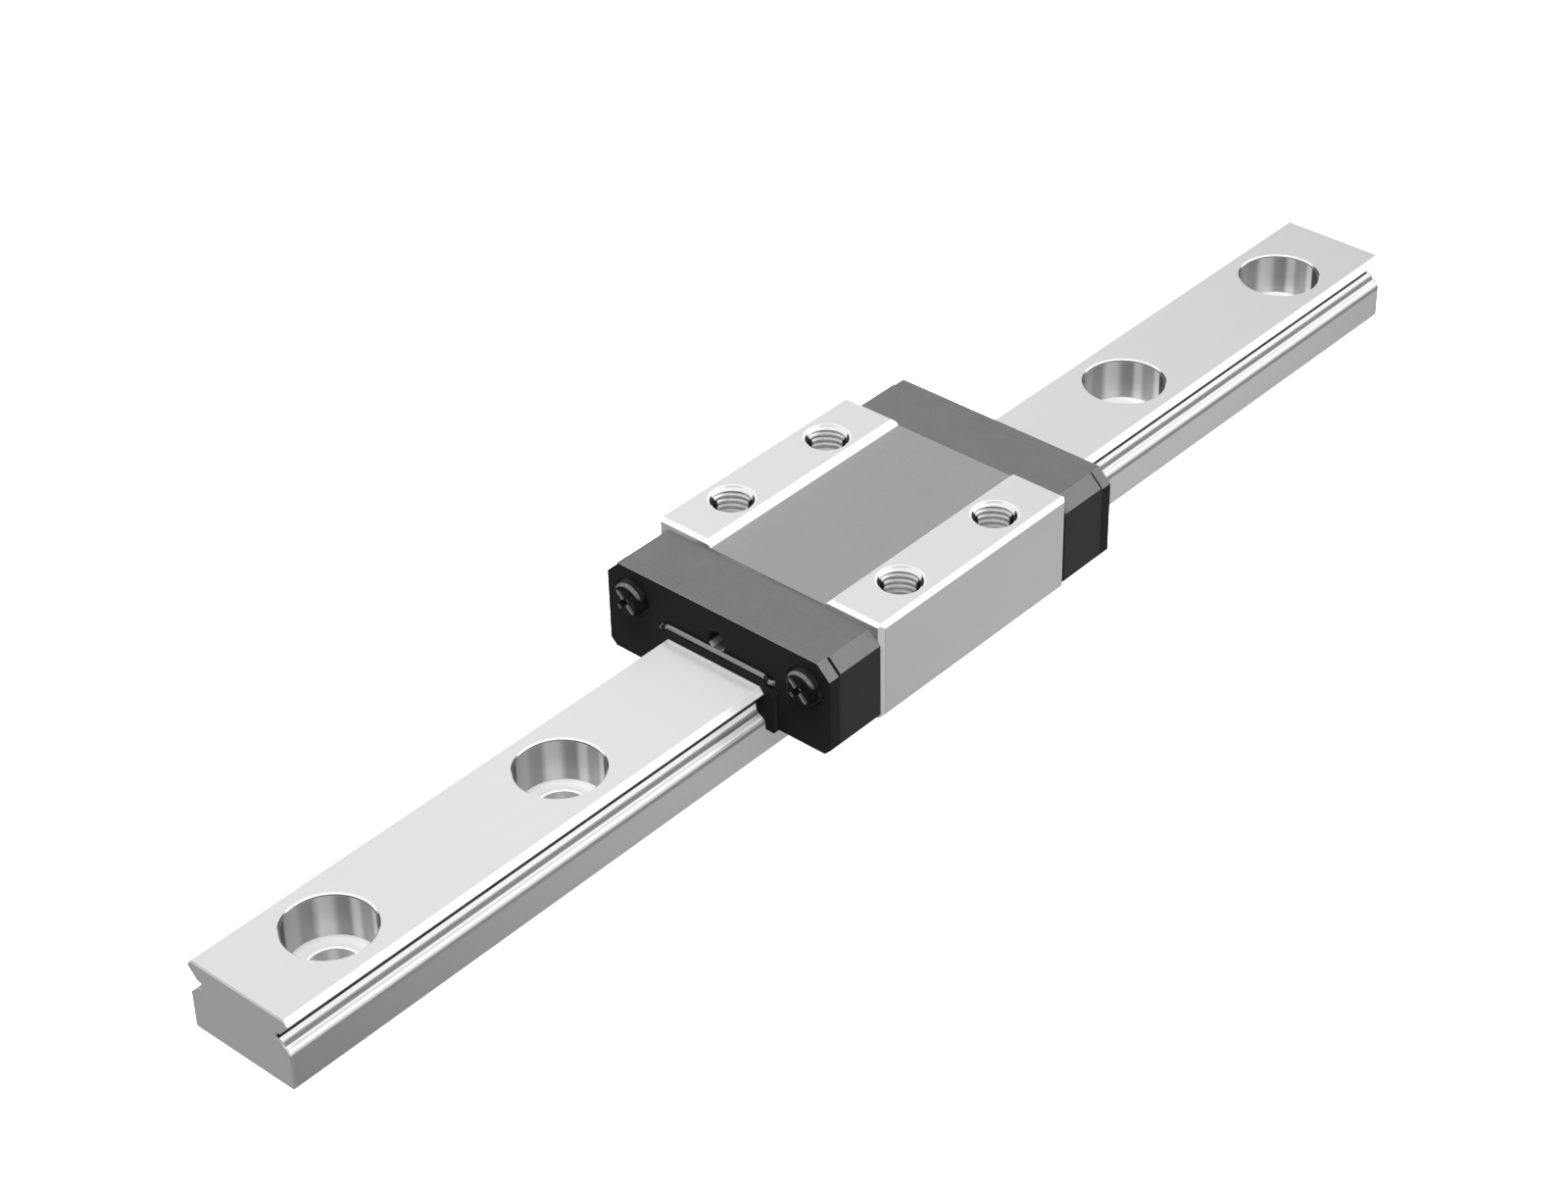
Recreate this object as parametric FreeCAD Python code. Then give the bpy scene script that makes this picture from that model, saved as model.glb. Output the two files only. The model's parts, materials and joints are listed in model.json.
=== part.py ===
import FreeCAD
import Part
import math
import os

# A miniature linear guide: a grooved steel rail and a carriage that runs along it on two
# loops of balls. Millimetres. X runs along the rail, Y across it and Z up from its seat.
# The origin is on the rail's underside at mid-length. The front of the carriage is its -X end.

# Rail
rail_length = 115.0
rail_width = 9.0
rail_height = 5.5
rail_top_width = 8.2
rail_lip_width = 8.86
rail_lip_drop = 0.45
rail_lip_land = 0.04
rail_foot_chamfer = 0.3
rail_shoulder_width = 0.3
rail_shoulder_round = 0.07
rail_shoulder_round_drop = 0.28
rail_end_chamfer = 0.12

# Rail bolt holes, for a screw with a cylindrical head
hole_pitch = 20.0
hole_edge_least = 5.0
bolt_hole_width = 3.5
bolt_head_width = 6.0
bolt_head_depth = 3.3
bolt_mouth_chamfer = 0.15

# Balls and the track they run in
ball_width = 1.588
ball_spacing_gap = 0.03
groove_gap = 0.036
track_below_rail_top = 1.65
turn_radius = 1.45
channel_gap = 0.06
channel_flats = 8
ball_flats = 6
ball_rings = 3

# Carriage block
block_length = 19.8
block_width = 20.0
roof_thickness = 4.1
roof_gap = 0.4
leg_gap = 0.25
leg_below_track = 1.45
arch_corner = 0.3
pad_inner_width = 11.0
pad_step = 0.43
block_edge_chamfer = 0.3
block_end_chamfer = 0.35
pad_end_chamfer = 0.25

# Threaded holes in the carriage's top, at their thread's full width
top_thread_width = 3.0
top_thread_depth = 3.0
top_thread_chamfer = 0.2
top_hole_spacing_x = 10.0
top_hole_spacing_y = 15.0

# End caps
cap_length = 4.15
cap_below_top = 0.6
cap_side_inset = 0.12
cap_corner_chamfer = 0.95
cap_foot_chamfer = 0.5
cap_below_block = 0.1
cap_rail_gap = 0.25
grease_hole_width = 1.5
grease_below_cap_top = 2.34
grease_channel_width = 0.8
grease_channel_depth = 0.6

# End seals
seal_thickness = 0.95
seal_corner_extra = 0.1
seal_rail_gap = 0.05
seal_lip_height = 0.4
seal_lip_side = 0.8
seal_lip_top = 0.6
seal_lip_corner = 0.9
seal_lip_drop = 0.1

# Cap screws
screw_from_side = 2.3
screw_below_cap_top = 2.35
screw_width = 1.6
screw_head_width = 2.7
screw_head_height = 1.1
screw_dome_width = 2.1
screw_dome_height = 0.55
screw_recess_gap = 0.15
screw_recess_floor = 0.5
screw_hole_gap = 0.02
screw_bite = 2.6
screw_tip_room = 0.2
driver_slot_width = 0.36
driver_slot_length = 1.96
driver_slot_depth = 0.4
driver_slot_turn = 45.0

# Ball retaining wires
wire_width = 0.32
wire_flats = 8
wire_ball_gap = 0.046
wire_rail_gap = 0.04
wire_seat_gap = 0.01
wire_slot_gap = 0.05
wire_span_above_rail = 0.85
wire_span_half = 4.3
wire_entry_out = 0.45
wire_entry_drop = 0.35
wire_bend_above_track = 0.5
wire_end_gap = 0.6
relief_side_room = 0.08
relief_flare = 0.1

# Turn guides
guide_height = 1.44
guide_gap = 0.02

# Places that follow from the sizes above
ball_radius = ball_width / 2
groove_radius = ball_radius + groove_gap
channel_radius = ball_radius + channel_gap
track_y = rail_width / 2
track_z = rail_height - track_below_rail_top
return_y = track_y + 2 * turn_radius
turn_y = track_y + turn_radius
block_half = block_length / 2
arch_half = track_y + leg_gap
arch_top = rail_height + roof_gap
block_top = arch_top + roof_thickness
block_bottom = track_z - leg_below_track
pad_floor = block_top - pad_step
cap_top = block_top - cap_below_top
cap_bottom = block_bottom - cap_below_block
cap_half_width = block_width / 2 - cap_side_inset
cap_face = block_half + cap_length
seal_face = cap_face + seal_thickness
screw_y = block_width / 2 - screw_from_side
screw_z = cap_top - screw_below_cap_top
screw_seat = cap_face + screw_recess_floor
screw_end = block_half - screw_bite
grease_z = cap_top - grease_below_cap_top
wire_radius = wire_width / 2
wire_y = track_y - ball_radius - wire_ball_gap - wire_radius
wire_face = seal_face + wire_seat_gap + wire_radius
wire_span_z = rail_height + wire_span_above_rail
wire_entry_y = track_y + wire_entry_out
wire_entry_z = wire_span_z - wire_entry_drop
wire_slot_depth = wire_width + 2 * wire_slot_gap
wire_drop_x = cap_face - wire_slot_depth / 2
wire_bend_z = track_z + wire_bend_above_track
relief_y = wire_y - wire_radius - wire_rail_gap
relief_half = wire_radius + relief_side_room
guide_half = guide_height / 2
guide_flat = channel_radius * math.tan(math.pi / channel_flats)
guide_waist = turn_radius - channel_radius
guide_rim = guide_waist + guide_half - guide_flat

# How far cutting shapes run below the rail's seat and past the faces that they cut
below = -1.0
past = 1.0

ORIGIN = FreeCAD.Vector(0, 0, 0)
X = FreeCAD.Vector(1, 0, 0)
Y = FreeCAD.Vector(0, 1, 0)
Z = FreeCAD.Vector(0, 0, 1)


def section_prism(points, low, high):
    """A closed outline of (y, z) points carried along X from low to high."""
    corners = [FreeCAD.Vector(low, y, z) for y, z in points]
    return Part.Face(Part.makePolygon(corners + corners[:1])).extrude(X * (high - low))


def plan_prism(points, low, high):
    """A closed outline of (x, y) points carried up Z from low to high."""
    corners = [FreeCAD.Vector(x, y, low) for x, y in points]
    return Part.Face(Part.makePolygon(corners + corners[:1])).extrude(Z * (high - low))


def side_prism(points, low, high):
    """A closed outline of (x, z) points carried along Y from low to high."""
    corners = [FreeCAD.Vector(x, low, z) for x, z in points]
    return Part.Face(Part.makePolygon(corners + corners[:1])).extrude(Y * (high - low))


def chamfered_rectangle(half_long, half_short, chamfer):
    """The corners of a centred rectangle with its four corners cut off."""
    return [
        (half_long - chamfer, -half_short), (half_long, -half_short + chamfer),
        (half_long, half_short - chamfer), (half_long - chamfer, half_short),
        (-half_long + chamfer, half_short), (-half_long, half_short - chamfer),
        (-half_long, -half_short + chamfer), (-half_long + chamfer, -half_short),
    ]


def both_sides(half):
    """A right-hand run of (y, z) points joined to its mirror image on the left."""
    return half + [(-y, z) for y, z in reversed(half)]


def rod_x(radius, low, high, y, z):
    """A round bar along X from low to high."""
    return Part.makeCylinder(radius, high - low, FreeCAD.Vector(low, y, z), X)


def rod_z(radius, low, high, x, y):
    """A round bar up Z from low to high."""
    return Part.makeCylinder(radius, high - low, FreeCAD.Vector(x, y, low), Z)


def flared_mouth(radius, chamfer, x, y, top):
    """The cone that breaks the edge of an upright hole where it opens at height top."""
    base = FreeCAD.Vector(x, y, top - chamfer)
    return Part.makeCone(radius, radius + chamfer + past, chamfer + past, base, Z)


def turned(shape):
    """The same piece at the other end of the carriage, half a turn about the upright axis."""
    return shape.rotated(ORIGIN, Z, 180)


def moved_out(corner, first, second, gap):
    """Where a (y, z) corner goes when the sides that meet there move out by gap. The sides are
    given by their outward directions, which have a length of 1."""
    share = gap / (1 + first[0] * second[0] + first[1] * second[1])
    return FreeCAD.Vector(
        0, corner[0] + share * (first[0] + second[0]), corner[1] + share * (first[1] + second[1]))


def facing(start, end):
    """The outward direction of the side that runs up the rail's section from start to end."""
    run = end[0] - start[0]
    rise = end[1] - start[1]
    length = math.hypot(run, rise)
    return rise / length, -run / length


def rail_section(gap, floor):
    """The rail's cross-section grown by gap, with its sides carried down to z = floor. The groove
    is an arc that runs into a straight flank up to the lip, and into a rounded shoulder below."""
    side = rail_width / 2
    shoulder_top = (side - rail_shoulder_width,
                    track_z - math.sqrt(groove_radius**2 - (track_y - side + rail_shoulder_width) ** 2))
    shoulder_mid = (side - rail_shoulder_round,
                    shoulder_top[1] - rail_shoulder_width + rail_shoulder_round)
    shoulder_low = (side, shoulder_mid[1] - rail_shoulder_round_drop)
    lip_top = (rail_lip_width / 2, rail_height - rail_lip_drop)
    lip_low = (rail_lip_width / 2, lip_top[1] - rail_lip_land)
    top_edge = (rail_top_width / 2, rail_height)
    reach = math.hypot(lip_low[0] - track_y, lip_low[1] - track_z)
    touch = math.atan2(lip_low[1] - track_z, lip_low[0] - track_y) + math.acos(groove_radius / reach)
    out = (1.0, 0.0)
    up = (0.0, 1.0)
    rounding = facing(shoulder_low, shoulder_mid)
    shoulder = facing(shoulder_mid, shoulder_top)
    arc_low = ((track_y - shoulder_top[0]) / groove_radius, (track_z - shoulder_top[1]) / groove_radius)
    flank = (-math.cos(touch), -math.sin(touch))
    chamfer = facing(lip_top, top_edge)
    foot = [
        FreeCAD.Vector(0, 0, floor),
        FreeCAD.Vector(0, side + gap - rail_foot_chamfer, floor),
        FreeCAD.Vector(0, side + gap, floor + rail_foot_chamfer),
        moved_out(shoulder_low, out, rounding, gap),
        moved_out(shoulder_mid, rounding, shoulder, gap),
        moved_out(shoulder_top, shoulder, arc_low, gap),
    ]
    radius = groove_radius - gap
    head = [
        FreeCAD.Vector(0, track_y + radius * math.cos(touch), track_z + radius * math.sin(touch)),
        moved_out(lip_low, flank, out, gap),
        moved_out(lip_top, out, chamfer, gap),
        moved_out(top_edge, chamfer, up, gap),
        FreeCAD.Vector(0, 0, rail_height + gap),
    ]
    groove_deepest = FreeCAD.Vector(0, track_y - radius, track_z)
    half = [Part.LineSegment(a, b).toShape() for a, b in zip(foot, foot[1:])]
    half.append(Part.Arc(foot[-1], groove_deepest, head[0]).toShape())
    half += [Part.LineSegment(a, b).toShape() for a, b in zip(head, head[1:])]
    edges = half + [edge.mirror(ORIGIN, Y) for edge in half]
    return Part.Face(Part.Wire(Part.sortEdges(edges)[0]))


def rail_prism(gap, floor, low, high):
    """The grown rail section carried along X from low to high."""
    face = rail_section(gap, floor)
    face.translate(X * low)
    return face.extrude(X * (high - low))


def rail():
    """Rail: ball grooves with wire reliefs, stepped bolt holes and chamfered ends."""
    half = rail_length / 2
    body = rail_prism(0, 0, -half, half)
    plan = plan_prism(chamfered_rectangle(half, rail_width / 2, rail_end_chamfer), 0, rail_height)
    outline = chamfered_rectangle(half, rail_height / 2, rail_end_chamfer)
    profile = side_prism([(x, z + rail_height / 2) for x, z in outline], -rail_width, rail_width)
    body = body.common(plan).common(profile)
    mouth_y = track_y - math.sqrt(groove_radius**2 - (relief_half + relief_flare) ** 2)
    relief = [
        (relief_y, track_z - relief_half),
        (mouth_y, track_z - relief_half - relief_flare),
        (track_y, track_z - relief_half - relief_flare),
        (track_y, track_z + relief_half + relief_flare),
        (mouth_y, track_z + relief_half + relief_flare),
        (relief_y, track_z + relief_half),
    ]
    cuts = [
        section_prism(relief, -half - past, half + past),
        section_prism([(-y, z) for y, z in relief], -half - past, half + past),
    ]
    holes = int((rail_length - 2 * hole_edge_least) / hole_pitch) + 1
    for number in range(holes):
        x = (number - (holes - 1) / 2) * hole_pitch
        cuts.append(rod_z(bolt_hole_width / 2, below, rail_height, x, 0))
        cuts.append(rod_z(bolt_head_width / 2, rail_height - bolt_head_depth, rail_height + past, x, 0))
        cuts.append(flared_mouth(bolt_head_width / 2, bolt_mouth_chamfer, x, 0, rail_height))
    return body.cut(cuts).removeSplitter()


def top_thread_hole(x, y):
    """A threaded blind hole, bored at the thread's full width, with a countersunk mouth."""
    radius = top_thread_width / 2
    bore = rod_z(radius, block_top - top_thread_depth, block_top + past, x, y)
    return [bore, flared_mouth(radius, top_thread_chamfer, x, y, block_top)]


def carriage_block():
    """Steel block astride the rail: two pads, raceways, return bores and threaded holes."""
    half_width = block_width / 2
    pad_half = pad_inner_width / 2
    c = block_edge_chamfer
    outline = both_sides([
        (arch_half, block_bottom),
        (half_width - c, block_bottom),
        (half_width, block_bottom + c),
        (half_width, block_top - c),
        (half_width - c, block_top),
        (pad_half, block_top),
        (pad_half - pad_step, pad_floor),
    ])
    arch = both_sides([
        (arch_half, below),
        (arch_half, arch_top - arch_corner),
        (arch_half - arch_corner, arch_top),
    ])
    body = section_prism(outline, -block_half, block_half)
    plan = plan_prism(chamfered_rectangle(block_half, half_width, block_end_chamfer),
                      below, block_top + past)
    p = pad_end_chamfer
    profile = side_prism(
        [(-block_half, below), (block_half, below), (block_half, block_top - p),
         (block_half - p, block_top), (-block_half + p, block_top), (-block_half, block_top - p)],
        -half_width, half_width)
    body = body.common(plan).common(profile)
    reach = block_half + past
    cuts = [section_prism(arch, -reach, reach)]
    for side in (-1, 1):
        cuts.append(rod_x(groove_radius, -reach, reach, side * track_y, track_z))
        cuts.append(rod_x(channel_radius, -reach, reach, side * return_y, track_z))
        bore = screw_width / 2 + screw_hole_gap
        depth = screw_end - screw_tip_room
        cuts.append(rod_x(bore, -reach, -depth, side * screw_y, screw_z))
        cuts.append(rod_x(bore, depth, reach, side * screw_y, screw_z))
        for end in (-1, 1):
            cuts += top_thread_hole(end * top_hole_spacing_x / 2, side * top_hole_spacing_y / 2)
    return body.cut(cuts)


def cap_outline(corner):
    """The end cap's outline seen along the rail, with its upper corners cut by corner."""
    return both_sides([
        (cap_half_width - cap_foot_chamfer, cap_bottom),
        (cap_half_width, cap_bottom + cap_foot_chamfer),
        (cap_half_width, cap_top - corner),
        (cap_half_width - corner, cap_top),
    ])


def turn_channel(side):
    """The half ring, many-sided in section, through which balls turn back at the front end."""
    centre = FreeCAD.Vector(-block_half, side * turn_y, track_z)
    reach = channel_radius / math.cos(math.pi / channel_flats)
    corners = []
    for number in range(channel_flats):
        angle = 2 * math.pi * (number + 0.5) / channel_flats
        across = turn_radius + reach * math.cos(angle)
        corners.append(centre + FreeCAD.Vector(0, -across, reach * math.sin(angle)))
    section = Part.Face(Part.makePolygon(corners + corners[:1]))
    return section.revolve(centre, Z, -180)


def turn_guide(side):
    """Half spool at the front end that forms the inner wall of the balls' turn."""
    centre = FreeCAD.Vector(-block_half, side * turn_y, track_z)
    half_profile = [
        (0, -guide_half), (guide_rim, -guide_half), (guide_waist, -guide_flat),
        (guide_waist, guide_flat), (guide_rim, guide_half), (0, guide_half),
    ]
    corners = [centre + FreeCAD.Vector(0, -radius, z) for radius, z in half_profile]
    return Part.Face(Part.makePolygon(corners + corners[:1])).revolve(centre, Z, -180)


def guide_pocket(side):
    """The half-round room for a turn guide in the front end cap."""
    middle = side * turn_y
    rim = guide_rim + guide_gap
    half = guide_half + guide_gap
    drum = rod_z(rim, track_z - half, track_z + half, -block_half, middle)
    front_half = Part.makeBox(rim, 2 * rim, 2 * half,
                              FreeCAD.Vector(-block_half - rim, middle - rim, track_z - half))
    return drum.common(front_half)


def wire_slot(side):
    """The slot in the front cap's outer face where the retaining wire drops to the groove."""
    half = wire_radius + wire_slot_gap
    low = -cap_face - past
    high = -cap_face + wire_slot_depth
    drop = [
        (wire_entry_y - half, wire_bend_z - half), (wire_entry_y + half, wire_bend_z - half),
        (wire_entry_y + half, wire_entry_z + half), (wire_entry_y - half, wire_entry_z + half),
    ]
    slope = math.atan2(wire_bend_z - track_z, wire_entry_y - wire_y)
    lift = half / math.cos(slope)
    run = [
        (wire_y, track_z - lift), (wire_entry_y, wire_bend_z - lift),
        (wire_entry_y, wire_bend_z + lift), (wire_y, track_z + lift),
    ]
    return [section_prism([(side * y, z) for y, z in points], low, high) for points in (drop, run)]


def front_end_cap():
    """Moulded cap: turns the balls, carries grease to them and holds the wire and screws."""
    body = section_prism(cap_outline(cap_corner_chamfer), -cap_face, -block_half)
    cuts = [rail_prism(cap_rail_gap, below, -cap_face - past, -block_half + past)]
    channel = grease_channel_width / 2
    inner = -block_half - grease_channel_depth
    cuts.append(rod_x(grease_hole_width / 2, -cap_face - past, -block_half + past, 0, grease_z))
    cuts.append(section_prism(
        [(-turn_y, grease_z - channel), (turn_y, grease_z - channel),
         (turn_y, grease_z + channel), (-turn_y, grease_z + channel)],
        inner, -block_half + past))
    for side in (-1, 1):
        cuts.append(rod_x(screw_width / 2 + screw_hole_gap, -cap_face - past, -block_half + past,
                          side * screw_y, screw_z))
        middle = side * turn_y
        cuts.append(section_prism(
            [(middle - channel, track_z), (middle + channel, track_z),
             (middle + channel, grease_z + channel), (middle - channel, grease_z + channel)],
            inner, -block_half + past))
        cuts.append(turn_channel(side))
        cuts.append(guide_pocket(side))
        cuts += wire_slot(side)
    return body.cut(cuts)


def front_end_seal():
    """Seal plate with a raised lip that wipes the rail, screw recesses and a grease hole."""
    plate = section_prism(cap_outline(cap_corner_chamfer + seal_corner_extra), -seal_face, -cap_face)
    lip_half = track_y + seal_lip_side
    lip_top = rail_height + seal_lip_top
    lip = section_prism(both_sides([
        (lip_half, cap_bottom - seal_lip_drop),
        (lip_half, lip_top - seal_lip_corner),
        (lip_half - seal_lip_corner, lip_top),
    ]), -seal_face - seal_lip_height, -cap_face)
    body = plate.fuse(lip)
    low = -seal_face - seal_lip_height - past
    high = -cap_face + past
    cuts = [rail_prism(seal_rail_gap, below, low, high)]
    cuts.append(rod_x(grease_hole_width / 2, low, high, 0, grease_z))
    recess = screw_head_width / 2 + screw_recess_gap
    for side in (-1, 1):
        cuts.append(rod_x(screw_width / 2 + screw_hole_gap, low, high, side * screw_y, screw_z))
        cuts.append(rod_x(recess, low, -screw_seat, side * screw_y, screw_z))
        y = side * wire_entry_y
        half = wire_radius + wire_slot_gap
        cuts.append(section_prism(
            [(y - half, wire_entry_z - half), (y + half, wire_entry_z - half),
             (y + half, wire_entry_z + half), (y - half, wire_entry_z + half)],
            low, high))
    return body.cut(cuts).removeSplitter()


def front_screw(side):
    """Cap screw: head with a sloping edge and a crossed driver recess, and a plain shank."""
    head_end = -screw_seat - screw_head_height
    rim_end = head_end + screw_dome_height
    head = rod_x(screw_head_width / 2, rim_end, -screw_seat, side * screw_y, screw_z)
    dome = Part.makeCone(screw_dome_width / 2, screw_head_width / 2, screw_dome_height,
                         FreeCAD.Vector(head_end, side * screw_y, screw_z), X)
    shank = rod_x(screw_width / 2, -screw_seat, -screw_end, side * screw_y, screw_z)
    slot_low = head_end - past
    depth = past + driver_slot_depth
    long_half = driver_slot_length / 2
    thin_half = driver_slot_width / 2
    middle = FreeCAD.Vector(slot_low, side * screw_y, screw_z)
    cross = [
        Part.makeBox(depth, 2 * a, 2 * b, middle - FreeCAD.Vector(0, a, b)).rotated(
            middle, X, driver_slot_turn)
        for a, b in ((long_half, thin_half), (thin_half, long_half))
    ]
    return head.fuse([dome, shank]).cut(cross).removeSplitter()


def front_wire():
    """Retaining wire: spans the seal's face, enters it at each end, drops behind it and runs
    along the relief of both rail grooves, where it keeps the balls in the lifted carriage."""
    side = [
        FreeCAD.Vector(-wire_face, wire_span_half, wire_span_z),
        FreeCAD.Vector(-wire_face, wire_entry_y, wire_entry_z),
        FreeCAD.Vector(-wire_drop_x, wire_entry_y, wire_entry_z),
        FreeCAD.Vector(-wire_drop_x, wire_entry_y, wire_bend_z),
        FreeCAD.Vector(-wire_drop_x, wire_y, track_z),
        FreeCAD.Vector(-wire_end_gap / 2, wire_y, track_z),
    ]
    other = [FreeCAD.Vector(p.x, -p.y, p.z) for p in reversed(side)]
    path = Part.makePolygon(other + side)
    rim = []
    for number in range(wire_flats):
        angle = 2 * math.pi * (number + 0.5) / wire_flats
        rim.append(other[0] + FreeCAD.Vector(
            0, wire_radius * math.cos(angle), wire_radius * math.sin(angle)))
    mitred_corners = 1
    return path.makePipeShell([Part.makePolygon(rim + rim[:1])], True, False, mitred_corners)


def ball(centre):
    """A ball cut with flats, its corners on the true diameter: rings of corners, one quad
    between each pair of corners and the pair above, and a flat at each pole."""
    rings = []
    for ring in range(ball_rings):
        latitude = math.pi * ((ring + 0.5) / ball_rings - 0.5)
        row = []
        for number in range(ball_flats):
            angle = 2 * math.pi * number / ball_flats
            row.append(centre + FreeCAD.Vector(
                ball_radius * math.cos(latitude) * math.cos(angle),
                ball_radius * math.cos(latitude) * math.sin(angle),
                ball_radius * math.sin(latitude)))
        rings.append(row)
    faces = [Part.Face(Part.makePolygon(row + row[:1])) for row in (rings[0], rings[-1])]
    for low, high in zip(rings, rings[1:]):
        for here in range(ball_flats):
            after = (here + 1) % ball_flats
            quad = [low[here], low[after], high[after], high[here]]
            faces.append(Part.Face(Part.makePolygon(quad + quad[:1])))
    return Part.Solid(Part.Shell(faces))


def turn_angles():
    """The angles about a turn's axis at which its balls lie, centred on the turn's crown."""
    pitch = ball_width + ball_spacing_gap
    step = 2 * math.asin(pitch / (2 * turn_radius))
    count = int(math.pi / step) + 1
    return [(number - (count - 1) / 2) * step for number in range(count)]


def row_places():
    """The X places of the balls in a straight row, clear of the last ball in each turn."""
    pitch = ball_width + ball_spacing_gap
    last = turn_angles()[-1]
    out = turn_radius * math.cos(last)
    across = turn_radius * (1 - math.sin(last))
    half = block_half + out - math.sqrt(pitch**2 - across**2)
    count = int(2 * half / pitch) + 1
    return [-half + 2 * half * number / (count - 1) for number in range(count)]


def ball_row(y):
    """A straight row of balls at this y."""
    return Part.makeCompound([ball(FreeCAD.Vector(x, y, track_z)) for x in row_places()])


def front_turn_balls(side):
    """The balls that lie in one turn of the front end cap."""
    balls = []
    for angle in turn_angles():
        x = -block_half - turn_radius * math.cos(angle)
        y = side * (turn_y + turn_radius * math.sin(angle))
        balls.append(ball(FreeCAD.Vector(x, y, track_z)))
    return Part.makeCompound(balls)


def save(node, shape):
    """Write one named piece."""
    shape.exportStep(os.path.join("parts", node + ".step"))


def main():
    os.makedirs("parts", exist_ok=True)
    save("rail", rail())
    save("carriage_block", carriage_block())
    for name, piece in (("end_cap", front_end_cap()), ("end_seal", front_end_seal()),
                        ("ball_wire", front_wire())):
        save("front_" + name, piece)
        save("rear_" + name, turned(piece))
    for hand, side in (("left", 1), ("right", -1)):
        for name, make in (("cap_screw", front_screw), ("turn_guide", turn_guide),
                           ("turn_balls", front_turn_balls)):
            save("front_" + hand + "_" + name, make(side))
            save("rear_" + hand + "_" + name, turned(make(-side)))
        save(hand + "_load_balls", ball_row(side * track_y))
        save(hand + "_return_balls", ball_row(side * return_y))


main()
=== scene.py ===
import json
import math

import bmesh
import bpy
import numpy as np
from mathutils import Matrix, Vector


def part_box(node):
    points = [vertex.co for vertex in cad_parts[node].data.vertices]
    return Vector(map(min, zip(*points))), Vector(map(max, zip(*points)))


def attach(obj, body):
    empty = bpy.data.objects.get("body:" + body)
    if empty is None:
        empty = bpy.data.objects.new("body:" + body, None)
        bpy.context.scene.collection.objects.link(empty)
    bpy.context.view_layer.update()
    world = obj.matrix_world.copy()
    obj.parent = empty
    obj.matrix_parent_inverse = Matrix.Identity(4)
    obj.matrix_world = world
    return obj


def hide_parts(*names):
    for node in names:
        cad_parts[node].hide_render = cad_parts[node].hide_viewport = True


# Looks of a miniature linear guide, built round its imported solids. The scene is in metres. The
# sizes here are in millimetres, in the part's own frame: X along the rail, Y across it, Z up.

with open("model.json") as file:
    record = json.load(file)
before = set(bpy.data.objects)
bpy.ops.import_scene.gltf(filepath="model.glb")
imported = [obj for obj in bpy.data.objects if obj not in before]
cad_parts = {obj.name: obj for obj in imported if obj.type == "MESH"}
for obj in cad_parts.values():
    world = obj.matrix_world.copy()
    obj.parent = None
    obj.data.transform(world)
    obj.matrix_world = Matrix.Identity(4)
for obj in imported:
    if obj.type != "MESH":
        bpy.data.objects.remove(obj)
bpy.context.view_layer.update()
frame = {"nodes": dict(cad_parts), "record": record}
nodes = frame["nodes"]
mm = 0.001

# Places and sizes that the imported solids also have
hole_pitch = 20.0
bolt_head_radius = 3.0
bolt_shank_radius = 1.75
bore_mouth_height = 5.35
ledge_height = 2.2
recess_floor = 9.57
recess_half_width = 5.5
rail_half_length = 57.5
thread_out_x = 5.0
thread_out_y = 7.5
thread_radius = 1.5
thread_floor = 7.0
thread_mouth_floor = 9.8
cap_face = 14.05
seal_face = 15.0
grease_height = 7.06
wire_radius = 0.16
ball_radius = 0.794
screw_out = 7.7
screw_height = 7.05

# Sizes of the threads and the screws' domed heads, which are finer here than in the solids
thread_pitch = 0.45
thread_start = 0.032
screw_pitch = 0.35
screw_rim = 15.10
driver_turn = math.radians(45)
driver_depth = 0.42
driver_reach = 1.03

# How many balls lie in a straight row and in a turn
row_count = 11
turn_count = 3


# Shader graphs


class Flow:
    """A number, colour or vector on its way between nodes. Operators add Math nodes to it."""

    def __init__(self, graph, socket):
        self.graph = graph
        self.socket = socket

    def __add__(self, other):
        return self.graph.math("ADD", self, other)

    def __radd__(self, other):
        return self.graph.math("ADD", other, self)

    def __sub__(self, other):
        return self.graph.math("SUBTRACT", self, other)

    def __rsub__(self, other):
        return self.graph.math("SUBTRACT", other, self)

    def __mul__(self, other):
        return self.graph.math("MULTIPLY", self, other)

    def __rmul__(self, other):
        return self.graph.math("MULTIPLY", other, self)

    def __truediv__(self, other):
        return self.graph.math("DIVIDE", self, other)


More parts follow.
